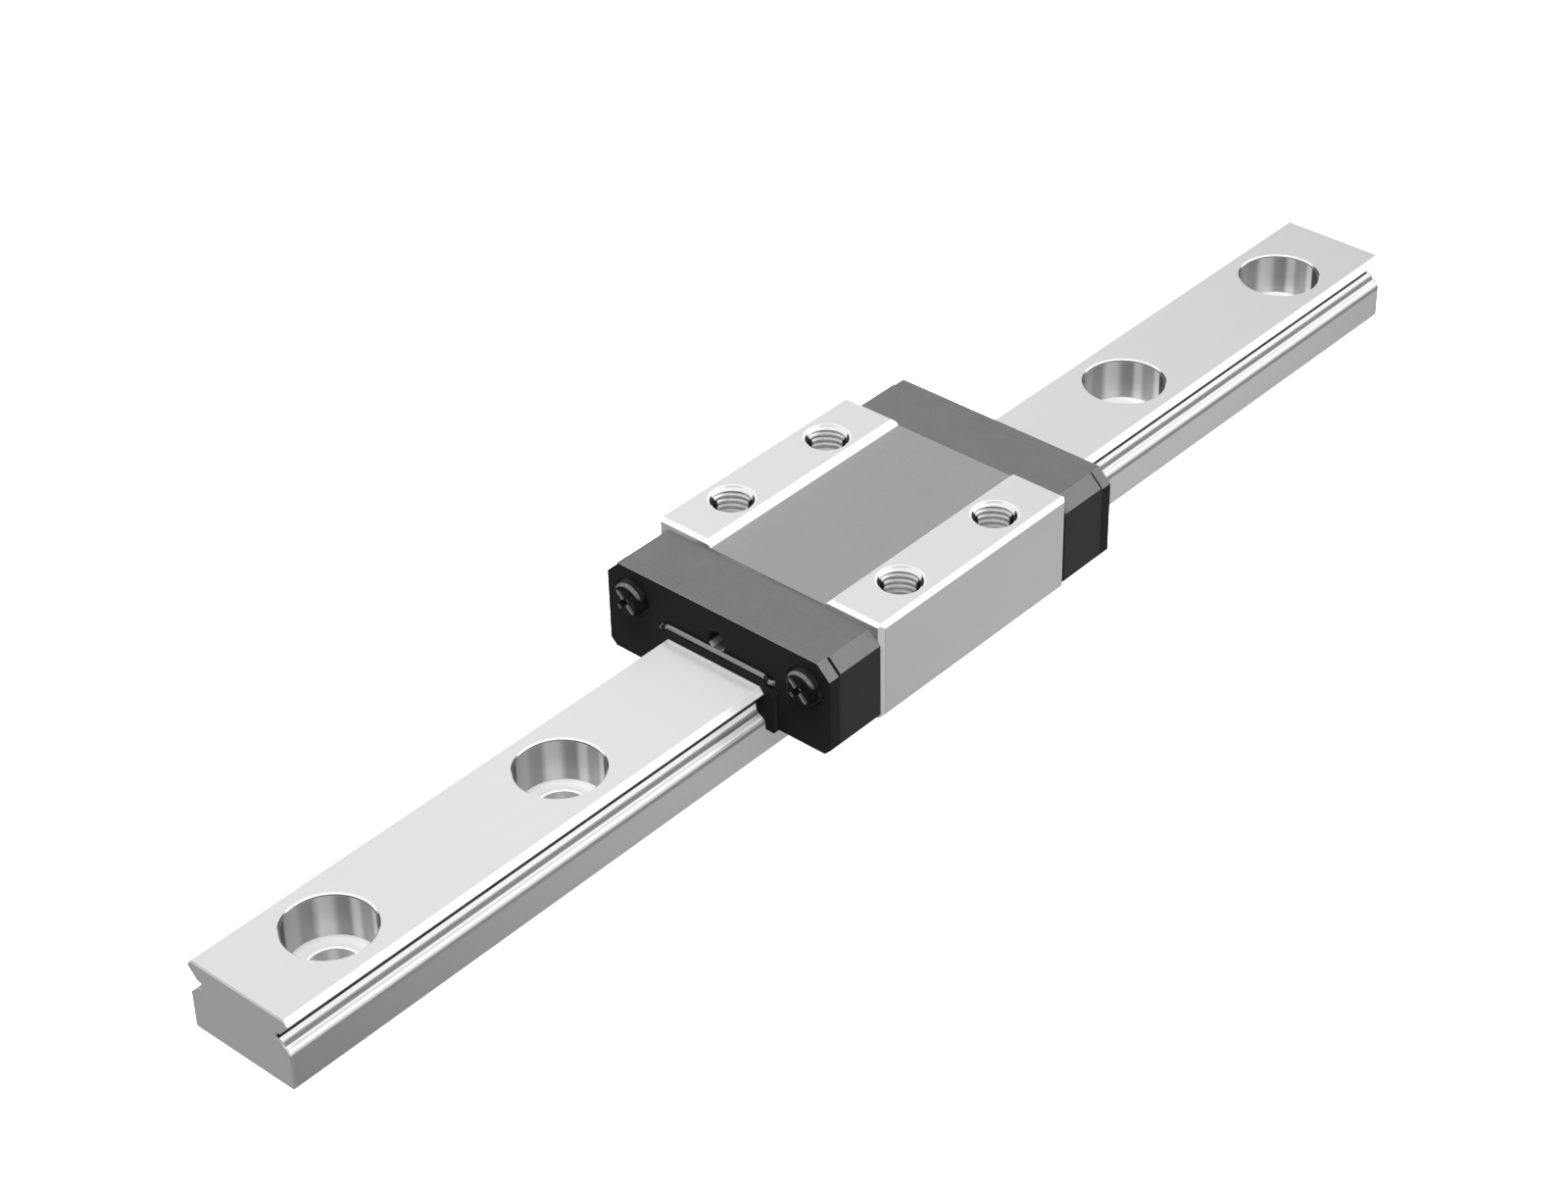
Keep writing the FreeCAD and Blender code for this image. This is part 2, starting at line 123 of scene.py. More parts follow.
class Graph:
    """The node tree of a material or of the world."""

    def __init__(self, owner):
        owner.use_nodes = True
        self.tree = owner.node_tree
        self.tree.nodes.clear()

    def node(self, kind, settings=(), inputs=(), output=0):
        """A node of this kind, its settings made first and its sockets given values or links."""
        made = self.tree.nodes.new(kind)
        for name, value in dict(settings).items():
            setattr(made, name, value)
        for name, value in dict(inputs).items():
            if isinstance(value, Flow):
                self.tree.links.new(value.socket, made.inputs[name])
            else:
                made.inputs[name].default_value = value
        return Flow(self, made.outputs[output]) if made.outputs else made

    def math(self, operation, *values):
        """A Math node."""
        return self.node("ShaderNodeMath", {"operation": operation}, dict(enumerate(values)))

    def vector(self, operation, *values, output=0):
        """A Vector Math node."""
        inputs = dict(enumerate(values))
        return self.node("ShaderNodeVectorMath", {"operation": operation}, inputs, output)

    def split(self, vector):
        """The three numbers of a vector."""
        made = self.node("ShaderNodeSeparateXYZ", (), {0: vector}).socket.node
        return [Flow(self, socket) for socket in made.outputs]

    def place(self):
        """The point on the piece, in millimetres in the part's frame at rest."""
        point = self.node("ShaderNodeTexCoord", output="Object")
        return self.vector("MULTIPLY", point, (1 / mm, 1 / mm, 1 / mm))

    def noise(self, point, stretch, detail):
        """Noise from 0 to 1, with stretch giving the grains per millimetre in X, Y and Z."""
        moved = self.vector("MULTIPLY", point, stretch)
        return self.node("ShaderNodeTexNoise", (), {"Vector": moved, "Scale": 1.0, "Detail": detail})

    def rise(self, value, start, end):
        """0 before start, 1 after end, and a smooth step between them."""
        settings = {"interpolation_type": "SMOOTHSTEP"}
        return self.node("ShaderNodeMapRange", settings, {0: value, 1: start, 2: end})

    def within(self, value, low, high, soft):
        """1 between low and high, falling smoothly to 0 over soft at each."""
        return self.rise(value, low - soft, low) * (1 - self.rise(value, high, high + soft))

    def blend(self, factor, first, second):
        """A mix of two colours."""
        inputs = {0: factor, 6: first, 7: second}
        return self.node("ShaderNodeMix", {"data_type": "RGBA"}, inputs, 2)

    def grey(self, value):
        """A neutral colour of this brightness."""
        return self.node("ShaderNodeCombineColor", (), {0: value, 1: value, 2: value})

    def ramp(self, value, stops):
        """A colour ramp of (position, brightness) stops, eased between them."""
        made = self.node("ShaderNodeValToRGB", (), {0: value}).socket.node
        ramp = made.color_ramp
        ramp.interpolation = "EASE"
        while len(ramp.elements) < len(stops):
            ramp.elements.new(1.0)
        for element, (position, bright) in zip(ramp.elements, stops):
            element.position = position
            element.color = (bright, bright, bright, 1.0)
        return Flow(self, made.outputs[0])

    def most(self, first, *others):
        """The largest of some numbers."""
        for other in others:
            first = self.math("MAXIMUM", first, other)
        return first

    def length(self, first, second):
        """The length of a pair of numbers at right angles to each other."""
        return self.math("SQRT", first * first + second * second)

    def centred(self, value, out):
        """How far a number is from the nearer of -out and out, with its sign."""
        return value - self.math("SIGN", value) * out

    def size(self, value):
        """A number without its sign."""
        return self.math("ABSOLUTE", value)

    def facing(self):
        """The three parts of the true surface normal."""
        return self.split(self.node("ShaderNodeNewGeometry", output="Normal"))

    def rounded(self, radius):
        """The surface normal with every edge rounded by this radius in millimetres."""
        return self.node("ShaderNodeBevel", {"samples": 6}, {"Radius": radius * mm})

    def edge(self, rounded):
        """1 on an edge and 0 on flat or smoothly curved surface."""
        flat_cosine = 0.995
        edge_cosine = 0.93
        flat = self.node("ShaderNodeNewGeometry", output="Normal")
        along = self.vector("DOT_PRODUCT", rounded, flat, output="Value")
        return self.rise(along, flat_cosine, edge_cosine)

    def bump(self, height, depth, normal):
        """The normal tilted by a height field that is depth millimetres deep."""
        inputs = {"Height": height, "Strength": 1.0, "Distance": depth * mm, "Normal": normal}
        return self.node("ShaderNodeBump", (), inputs)


def finish_material(name, paint):
    """A material whose shader sockets are what paint(graph) returns."""
    material = bpy.data.materials.new(name)
    graph = Graph(material)
    shader = graph.node("ShaderNodeBsdfPrincipled", (), paint(graph))
    graph.node("ShaderNodeOutputMaterial", (), {"Surface": shader})
    return material


def plain_grey(value):
    """A neutral colour that is the same everywhere."""
    return (value, value, value, 1.0)


# How metallic the ground steel is: the rest of its light is spread by its fine grinding marks
steel_share = 0.55

# Depth of those marks
steel_marks = 0.0012

# Near-white for worn edges, which also stands in for their highlight, and for the painted highlights
# on the rail's lit bands and the block's chamfers
white = plain_grey(0.93)

# Parts of the normal at which a face begins to look along an axis, and at which it does fully
square_on = (0.85, 0.95)


def steel_grain(graph, point):
    """Grinding marks along X: fine lines with a slower unevenness, from 0 to 1."""
    fine = graph.noise(point, (0.12, 11.0, 11.0), 3.0)
    slow = graph.noise(point, (0.05, 0.7, 0.7), 2.0)
    return fine * 0.7 + slow * 0.3


def ground_tone(graph, grain, toward_y, level, side_drop):
    """Brightness of ground steel: level, less side_drop on faces that look sideways."""
    side = graph.rise(toward_y, *square_on)
    return level - side * side_drop + (grain - 0.5) * 0.04


# Turn, as a share of a circle, at which a bore's wall lies straight across from the front right
bore_back = 0.612

# The shank's wall shows the same bands as the head's, closer together by this ratio
shank_squeeze = 1.6

# Brightness round a bolt hole's wall: painted reflection bands, light and dark, standing in for the
# studio mirrored in the wall
bore_reflection_bands = [
    (0.00, 0.47), (0.12, 0.86), (0.25, 0.41), (0.367, 0.04), (0.425, 0.05), (0.437, 0.83),
    (0.455, 0.78), (0.475, 0.42), (0.515, 0.40), (0.537, 0.71), (0.550, 0.68), (0.572, 0.31),
    (0.600, 0.33), (0.635, 0.70), (0.665, 0.74), (0.700, 0.33), (0.730, 0.33), (0.760, 0.45),
    (0.812, 0.40), (0.832, 0.05), (0.865, 0.03), (0.885, 0.53), (1.00, 0.47),
]

# Brightness round the broken edge at a bolt hole's mouth, a painted highlight with painted dark
# bands, and the painted shade of its inner edge
mouth_highlight_bands = [
    (0.00, 0.60), (0.34, 0.60), (0.37, 0.05), (0.42, 0.06), (0.45, 0.93), (0.77, 0.93),
    (0.81, 0.06), (0.86, 0.05), (0.89, 0.60),
]
mouth_dark = 0.10

# Bands along the rail's sides by height, painted highlight on the lit flank, relief and lip, painted
# shade on the shade and deep bands: lowest, highest and how softly they end
lit_flank_band = (2.96, 3.20, 0.03)
shade_band = (3.26, 3.40, 0.04)
relief_band = (3.44, 3.62, 0.01)
deep_band = (3.50, 4.15, 0.02)
lip_band = (5.06, 5.48, 0.01)

# How far out from the rail's middle they start or, for the deep one, stop
groove_out = (3.15, 3.20)
deep_out = (3.38, 3.42)
lip_out = (4.10, 4.12)


def rail_finish(graph):
    """Ground rail: lengthwise grain, edges painted near-white as wear and highlight, painted
    highlight and shade bands along the grooves, and painted reflection bands in the bolt holes.
    """
    point = graph.place()
    x, y, z = graph.split(point)
    normal = graph.rounded(radius=0.05)
    edge = graph.edge(normal)
    grain = steel_grain(graph, point)

    off = graph.math("WRAP", x, hole_pitch, 0.0) - hole_pitch / 2
    far = graph.length(off, y)
    turn = graph.math("ARCTAN2", y, off) / (2 * math.pi) + 0.5
    wall = graph.within(far, bolt_head_radius - 0.03, bolt_head_radius + 0.02, 0.02)
    wall = wall * graph.within(z, ledge_height + 0.04, bore_mouth_height - 0.01, 0.01)
    low_wall = 1 - graph.rise(far, bolt_shank_radius + 0.01, bolt_shank_radius + 0.03)
    low_turn = (turn - bore_back) * shank_squeeze + bore_back
    ledge = graph.within(z, ledge_height - 0.02, ledge_height + 0.01, 0.02)
    ledge = ledge * (1 - graph.rise(far, bolt_head_radius + 0.01, bolt_head_radius + 0.03))
    ledge = ledge * (1 - low_wall)
    # Painted highlights round the shank hole and at the bolt hole's broken mouth, with painted shade
    # on the mouth's inner edge
    shank_rim = graph.within(far, bolt_shank_radius, bolt_shank_radius + 0.10, 0.03)
    mouth = graph.within(far, bolt_head_radius, bolt_head_radius + 0.14, 0.01)
    mouth = mouth * graph.rise(z, bore_mouth_height - 0.01, bore_mouth_height + 0.01)
    mouth_highlight_part = graph.rise(far, bolt_head_radius + 0.05, bolt_head_radius + 0.07)
    mouth_tone = mouth_dark + (graph.ramp(turn, mouth_highlight_bands) - mouth_dark) * mouth_highlight_part
    marks = graph.noise(point, (3.0, 3.0, 22.0), 2.0)

    out = graph.size(y)
    inboard = 1 - graph.rise(graph.size(x), rail_half_length - 0.15, rail_half_length - 0.10)
    groove = graph.rise(out, *groove_out) * inboard
    # Painted bands along the groove: highlights on the lit flank, the relief and the lip, painted
    # shade on the shade band and on the deep wall
    lit_flank = graph.within(z, *lit_flank_band) * groove
    shade = graph.within(z, *shade_band) * groove
    relief = graph.within(z, *relief_band) * groove
    deep = graph.within(z, *deep_band) * (1 - graph.rise(out, *deep_out)) * groove
    lip = graph.within(z, *lip_band) * graph.rise(out, *lip_out) * inboard

    toward_y = graph.size(graph.facing()[1])
    base = graph.grey(ground_tone(graph, grain, toward_y, level=0.472, side_drop=0.028))
    base = graph.blend(wall, base, graph.ramp(turn, bore_reflection_bands))
    base = graph.blend(low_wall, base, graph.ramp(low_turn, bore_reflection_bands))
    # The ledge is painted lighter towards the bore's wall, painted light against the shade that falls
    # there
    base = graph.blend(ledge, base, graph.grey(0.36 + graph.rise(far, 1.9, 2.9) * 0.20))
    base = graph.blend(shade, base, plain_grey(0.20))
    # Edges, the shank hole's rim and the lit bands are painted near-white as highlight
    bright = graph.most(shank_rim, relief, lit_flank, lip, edge * 0.7)
    base = graph.blend(bright, base, white)
    base = graph.blend(mouth, base, graph.grey(mouth_tone))
    base = graph.blend(deep, base, plain_grey(0.02))
    bored = graph.most(wall, low_wall)

    outward = graph.math("SIGN", y) * relief * 1.2
    tilt = graph.node("ShaderNodeCombineXYZ", (), {0: 0.0, 1: outward, 2: 0.0})
    normal = graph.vector("NORMALIZE", graph.vector("ADD", normal, tilt))
    height = grain * (1 - bored) + marks * bored
    return {
        "Base Color": base,
        "Metallic": steel_share * (1 - ledge),
        "Roughness": 0.32 + (grain - 0.5) * 0.10 + bored * 0.10,
        "Normal": graph.bump(height, steel_marks, normal),
    }


# Direction in X and Y to the sides of the four top holes, where their crescents of painted shade lie
thread_aside = (-0.65, 0.76)

# Where the threads' tones start and end: first in shares of a pitch from a root's middle, the
# others in height, aside from a hole's middle, or out from its axis
root_core = (0.08, 0.28)
root_top = (9.76, 9.80)
root_strength = (8.4, 9.4)
mouth_line = (9.88, 9.94, 0.04)
middle_aside = (0.30, 0.95)
crescent_aside = (0.96, 1.14)
crescent_low = (6.62, 6.80)
crescent_slope = 2.2
crescent_out = (1.54, 1.60)
lit_height = (7.4, 8.2)


def thread_tone(graph, x, y, z, far):
    """Brightness of the cut threads, lighter towards the mouth and darker deeper down as painted
    shade, with painted shade in the roots that grows towards the mouth, a painted dark line round the
    mouth and a crescent of painted shade at each side."""
    off_x = graph.centred(x, thread_out_x)
    off_y = graph.centred(y, thread_out_y)
    aside = graph.size(off_x * thread_aside[0] + off_y * thread_aside[1])
    turn = graph.math("ARCTAN2", off_y, off_x) / (2 * math.pi)
    phase = graph.math("FRACT", z / thread_pitch - turn - thread_start)
    root = 1 - graph.rise(0.5 - graph.size(phase - 0.5), *root_core)
    root = root * (1 - graph.rise(z, *root_top)) * (0.10 + graph.rise(z, *root_strength) * 0.30)
    root = graph.most(root, graph.within(z, *mouth_line) * 0.30)
    middle = 1 - graph.rise(aside, *middle_aside)
    below = 1 - graph.rise(z - aside * crescent_slope, *crescent_low)
    crescent = graph.rise(aside, *crescent_aside) * below
    crescent = crescent * (1 - graph.rise(far, *crescent_out))
    dark = graph.most(root * middle, crescent * 0.99)
    return (0.60 + graph.rise(z, *lit_height) * 0.38) * (1 - dark)


def block_finish(graph):
    """Ground block: bright pads, edges painted near-white as wear and highlight, chamfers painted
    near-white as highlight, brushed sides, cut threads with painted shade, and a dull recess left as
    it was formed."""
    point = graph.place()
    x, y, z = graph.split(point)
    normal = graph.rounded(radius=0.06)
    edge = graph.edge(normal)
    grain = steel_grain(graph, point)
    from_middle = graph.size(y)
    recess = graph.within(z, recess_floor - 0.05, recess_floor + 0.05, 0.03)
    recess_edge = recess_half_width - 0.40
    recess = recess * (1 - graph.rise(from_middle, recess_edge - 0.05, recess_edge))
    far = graph.length(graph.size(x) - thread_out_x, from_middle - thread_out_y)
    cut = 1 - graph.rise(far, thread_radius + 0.20, thread_radius + 0.24)
    toward_x, toward_y, toward_z = [graph.size(part) for part in graph.facing()]
    # Chamfers are painted near-white as highlight, more where they face up
    chamfer = 1 - graph.rise(graph.most(toward_x, toward_y, toward_z), *square_on)
    chamfer = chamfer * (0.6 + graph.rise(toward_z, 0.3, 0.5) * 0.4)
    cast = graph.noise(point, (6.0, 6.0, 6.0), 4.0)
    cloud = graph.noise(point, (0.35, 0.35, 0.35), 3.0)
    dull = 0.240 + (cast - 0.5) * 0.03 + (cloud - 0.5) * 0.02
    ground = ground_tone(graph, grain, toward_y, level=0.460, side_drop=0.085)
    base = graph.blend(recess, graph.grey(ground), graph.grey(dull))
    # Edges, also worn, and chamfers are painted near-white as highlight
    bright = graph.most(edge * (1 - recess) * 0.7, chamfer)
    base = graph.blend(bright, base, white)
    base = graph.blend(cut, base, graph.grey(thread_tone(graph, x, y, z, far)))
    height = grain * (1 - recess) * (1 - cut) + cast * recess * 3.0
    return {
        "Base Color": base,
        "Metallic": steel_share + cut * 0.25,
        "Roughness": 0.30 + (grain - 0.5) * 0.10 + recess * 0.25 + cut * 0.15,
        "Normal": graph.bump(height, steel_marks, normal),
    }


# Brightness of what faces up: a dusty film, and painted top light that makes tops lighter than sides
dust_and_top_light_tone = 0.078

# Where the painted highlight on the seal's worn upper edge starts in height, and the fading edges of
# the ring of painted shadow round each screw and of the grease port, whose wall has painted glints
edge_highlight_height = (8.2, 8.4)
screw_shadow_ring = (1.42, 1.62)
port_rim = (0.76, 0.80)

# How strongly the moulded and blackened surfaces mirror light, where 0.5 is usual
dull_shine = 0.10


def from_screw(graph, y, z):
    """Distance from the axis of the nearer cap screw."""
    return graph.length(graph.size(y) - screw_out, z - screw_height)


def moulded(tone, grain_depth, gloss, edge_tone, radius):
    """A paint for black mouldings: fine grain, soft clouding, faces that look up painted lighter as a
    dusty film and as painted top light, the seal's upper outer edge worn and painted with a
    highlight, a dark joint between seal and cap, a ring of painted shadow round each screw, and
    painted glints in the grease port."""

    def paint(graph):
        point = graph.place()
        x, y, z = graph.split(point)
        normal = graph.rounded(radius)
        edge = graph.edge(normal)
        grain = graph.noise(point, (9.0, 9.0, 9.0), 3.0)
        cloud = graph.noise(point, (0.5, 0.5, 0.5), 3.0)
        length = graph.size(x)
        upward = graph.facing()[2]
        behind_face = 1 - graph.rise(length, seal_face, seal_face + 0.02)
        # Faces that look up are painted lighter, as a dusty film and as painted top light, more on
        # the corner facets
        dust_and_top_light = graph.rise(upward, 0.35, 0.75) * behind_face
        facet = graph.within(upward, 0.55, 0.85, 0.05)
        level = tone + dust_and_top_light * (dust_and_top_light_tone * (1 + facet * 0.7) - tone)
        level = level * (0.75 + cloud * 0.2 + grain * 0.3)
        # Painted highlight on the seal's worn upper outer edge
        wear_and_highlight = edge * graph.rise(length, seal_face - 0.15, seal_face - 0.08)
        wear_and_highlight = wear_and_highlight * graph.rise(z, *edge_highlight_height) * behind_face
        base = graph.blend(wear_and_highlight, graph.grey(level), plain_grey(edge_tone))
        joint = graph.within(length, cap_face - 0.14, cap_face + 0.03, 0.02) * facet
        base = graph.blend(joint, base, plain_grey(0.004))
        # A ring of painted shadow round each screw head
        ring = 1 - graph.rise(from_screw(graph, y, z), *screw_shadow_ring)
        ring = ring * graph.rise(length, cap_face, cap_face + 0.02)
        base = graph.blend(ring, base, plain_grey(0.002))
        # Painted glints on the lower wall of the grease port
        up = z - grease_height
        port = 1 - graph.rise(graph.length(up, y), *port_rim)
        turn = graph.math("ARCTAN2", up, y)
        left_glint = graph.within(turn, -0.95, -0.55, 0.15)
        right_glint = graph.within(turn, -2.6, -2.2, 0.15)
        base = graph.blend(port * (left_glint + right_glint), base, plain_grey(0.30))
        return {
            "Base Color": base,
            "Roughness": gloss + (grain - 0.5) * 0.12,
            "Specular IOR Level": dull_shine,
            "Normal": graph.bump(grain, grain_depth, normal),
        }

    return paint


def screw_finish(graph):
    """Black oxide on steel, oiled, with painted highlights on the head's upper round edge, where the
    oxide is worn off, and on the driver's slot walls that face up, shown as uncoated steel.
    """
    point = graph.place()
    x, y, z = graph.split(point)
    normal = graph.rounded(radius=0.03)
    cloud = graph.noise(point, (4.0, 4.0, 4.0), 3.0)
    far = from_screw(graph, y, z)
    length = graph.size(x)
    _, toward_y, toward_z = graph.facing()
    # Painted highlights on the driver's slot walls that face up and to one side
    slot_highlight = graph.rise(toward_z + toward_y * graph.math("SIGN", x), 0.95, 1.20)
    slot_highlight = slot_highlight * graph.rise(length, screw_rim + 0.05, screw_rim + 0.10)
    slot_highlight = slot_highlight * (1 - graph.rise(far, driver_reach - 0.03, driver_reach + 0.03))
    # Painted highlight on the head's upper round edge, where the oxide is also worn
    wear_and_highlight = graph.within(far, 1.15, 1.27, 0.05) * graph.rise(length, screw_rim, screw_rim + 0.10)
    wear_and_highlight = wear_and_highlight * graph.rise(toward_z, 0.30, 0.50) * (0.04 + cloud * 0.40)
    bare_and_highlit = graph.most(slot_highlight, wear_and_highlight)
    base = graph.blend(bare_and_highlit, graph.grey(0.003 + cloud * 0.006), plain_grey(0.42))
    return {
        "Base Color": base,
        "Metallic": bare_and_highlit * 0.7,
        "Roughness": 0.32 + cloud * 0.15,
        "Specular IOR Level": dull_shine,
        "Normal": graph.bump(cloud, 0.002, normal),
    }


def wire_finish(graph):
    """Drawn stainless wire with fine die lines along it, with painted shade where it turns in at each
    end.
    """
    point = graph.place()
    across = graph.size(graph.split(point)[1])
    lines = graph.noise(point, (30.0, 0.4, 30.0), 2.0)
    # Painted shade where the wire turns in towards the seal at each end
    shaded_bend = graph.within(across, 4.42, 4.74, 0.06)
    return {
        "Base Color": graph.grey((0.36 + lines * 0.20) * (1 - shaded_bend * 0.9)),
        "Metallic": 1.0,
        "Roughness": 0.48 + lines * 0.12,
        "Normal": graph.bump(lines, 0.0008, graph.node("ShaderNodeNewGeometry", output="Normal")),
    }


def ball_finish(graph):
    """Polished bearing steel with the faint clouding that running leaves."""
    point = graph.place()
    cloud = graph.noise(point, (2.5, 2.5, 2.5), 3.0)
    return {
        "Base Color": graph.grey(0.80 + cloud * 0.10),
        "Metallic": 1.0,
        "Roughness": 0.06 + cloud * 0.06,
    }


materials = {
    "rail_steel": finish_material("ground_rail", rail_finish),
    "block_steel": finish_material("ground_block", block_finish),
    "cap_plastic": finish_material("moulded_cap", moulded(
        tone=0.024, grain_depth=0.003, gloss=0.42, edge_tone=0.26, radius=0.06)),
    "seal_rubber": finish_material("moulded_seal", moulded(
        tone=0.011, grain_depth=0.002, gloss=0.50, edge_tone=0.26, radius=0.05)),
    "guide_plastic": finish_material("moulded_guide", moulded(
        tone=0.05, grain_depth=0.002, gloss=0.5, edge_tone=0.08, radius=0.05)),
    "screw_steel": finish_material("blackened_screw", screw_finish),
    "wire_steel": finish_material("drawn_wire", wire_finish),
    "ball_steel": finish_material("polished_ball", ball_finish),
}


# Surfaces

# Faces that meet more sharply than this keep a hard edge between them
sharp_angle = math.radians(35.0)

# Points nearer than this, in metres, are one point
joined_within = 1e-7


def grid_faces(rows, columns, wrap_rows):
    """Quads between neighbouring points of a grid whose columns wrap round."""
    down = np.arange(rows if wrap_rows else rows - 1)
    row, column = np.meshgrid(down, np.arange(columns), indexing="ij")
    after_row = (row + 1) % rows
    after_column = (column + 1) % columns
    corners = [row * columns + column, row * columns + after_column,
               after_row * columns + after_column, after_row * columns + column]
    return np.stack(corners, -1).reshape(-1, 4)


def add_piece(name, points, slot, wrap_rows=False, stands_for=()):
    """A piece of the carriage from points in millimetres, as shells x rows x columns x 3."""
    shells, rows, columns = points.shape[:3]
    one = grid_faces(rows, columns, wrap_rows)
    starts = np.arange(shells)[:, None, None] * rows * columns
    faces = (one + starts).reshape(-1, 4)
    mesh = bpy.data.meshes.new(name)
    mesh.from_pydata(points.reshape(-1, 3) * mm, [], faces)
    work = bmesh.new()
    work.from_mesh(mesh)
    bmesh.ops.remove_doubles(work, verts=work.verts, dist=joined_within)
    work.to_mesh(mesh)
    work.free()
    mesh.shade_smooth()
    mesh.set_sharp_from_angle(angle=sharp_angle)
    mesh.materials.append(materials[slot])
    piece = bpy.data.objects.new(name, mesh)
    bpy.context.scene.collection.objects.link(piece)
    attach(piece, "carriage")
    if stands_for:
        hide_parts(*stands_for)


def circle(columns):
    """Angles of evenly spaced points round a circle."""
    return np.arange(columns) * 2 * math.pi / columns


def half_turn(points):
    """The same points at the carriage's other end, turned half round the upright axis."""
    return points * np.array([-1.0, -1.0, 1.0])


def balls(centres, rows=13, columns=24):
    """Spheres: a point's height is the sine of its latitude, and its circle the cosine."""
    latitude = np.linspace(-math.pi / 2, math.pi / 2, rows)[:, None]
    longitude = circle(columns)
    unit = np.stack([np.cos(latitude) * np.cos(longitude), np.cos(latitude) * np.sin(longitude),
                     np.sin(latitude) + 0 * longitude], -1)
    return centres[:, None, None, :] + ball_radius * unit


def bent_line(corners, cut, steps=7):
    """A line through corners, each rounded by the parabola that starts and ends cut away."""
    corners = np.array(corners, float)
    before = corners[:-2] - corners[1:-1]
    after = corners[2:] - corners[1:-1]
    before *= cut / np.linalg.norm(before, axis=1)[:, None]
    after *= cut / np.linalg.norm(after, axis=1)[:, None]
    t = np.linspace(0, 1, steps)[:, None]
    bends = corners[1:-1][:, None] + before[:, None] * (1 - t) ** 2 + after[:, None] * t**2
    return np.concatenate([corners[:1], bends.reshape(-1, 3), corners[-1:]])


def tube(line, radius, columns=16):
    """A round tube: circles square to a line, with a flat end at each end of it."""
    ahead = np.gradient(line, axis=0)
    ahead /= np.linalg.norm(ahead, axis=1)[:, None]
    side = np.array([1.0, 1.0, 1.0]) - ahead * ahead.sum(1)[:, None]
    side /= np.linalg.norm(side, axis=1)[:, None]
    other = np.cross(ahead, side)
    angle = circle(columns)
    ring = side[:, None] * np.cos(angle)[:, None] + other[:, None] * np.sin(angle)[:, None]
    walls = line[:, None] + radius * ring
    first = np.repeat(line[:1, None], columns, 1)
    last = np.repeat(line[-1:, None], columns, 1)
    return np.concatenate([first, walls, last])[None]


def ball_centres(node, count):
    """Centres of the balls in a node's box: a row along X, or a turn with its crown outermost.
    The plain balls reach their full radius along X and the same smaller half across and up."""
    low, high = [np.array(corner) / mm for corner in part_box(node)]
    middle = (low + high) / 2
    flat_half = (high[2] - low[2]) / 2
    if count > turn_count:
        x = np.linspace(low[0] + ball_radius, high[0] - ball_radius, count)
        return np.stack([x, 0 * x + middle[1], 0 * x + middle[2]], -1)
    out = 1 if middle[0] > 0 else -1
    crown = (high[0] if out > 0 else low[0]) - out * ball_radius
    inner = (low[0] if out > 0 else high[0]) + out * ball_radius
    return np.array([
        [crown, middle[1], middle[2]],
        [inner, low[1] + flat_half, middle[2]],
        [inner, high[1] - flat_half, middle[2]],
    ])


def thread_liner(x, y, columns=72, rows_per_turn=16):
    """The thread cut in a hole: the radius falls from the root to the crest and back once in
    each pitch of height, the height rises one pitch in each turn, and a thin sleeve backs it."""
    depth = 0.10
    root = thread_radius - 0.012
    back = thread_radius - 0.002
    half_crest = 0.125
    flank = 0.3125
    fade_height = 0.25 * thread_pitch
    angle = circle(columns)
    length = thread_mouth_floor - thread_floor
    rows = int(length / thread_pitch * rows_per_turn)
    height = np.linspace(thread_floor, thread_mouth_floor, rows)[:, None]
    phase = (height / thread_pitch - angle / (2 * math.pi) - thread_start) % 1.0
    crest = np.clip((half_crest + flank - np.abs(phase - 0.5)) / flank, 0, 1)
    fade = np.clip((thread_mouth_floor - height) / fade_height, 0, 1)
    inner = root - depth * crest * fade
    outer = np.full_like(inner, back)
    radius = np.concatenate([inner[::-1], outer])
    z = np.concatenate([height[::-1], height]) + 0 * angle
    return np.stack([x + radius * np.cos(angle), y + radius * np.sin(angle), z], -1)


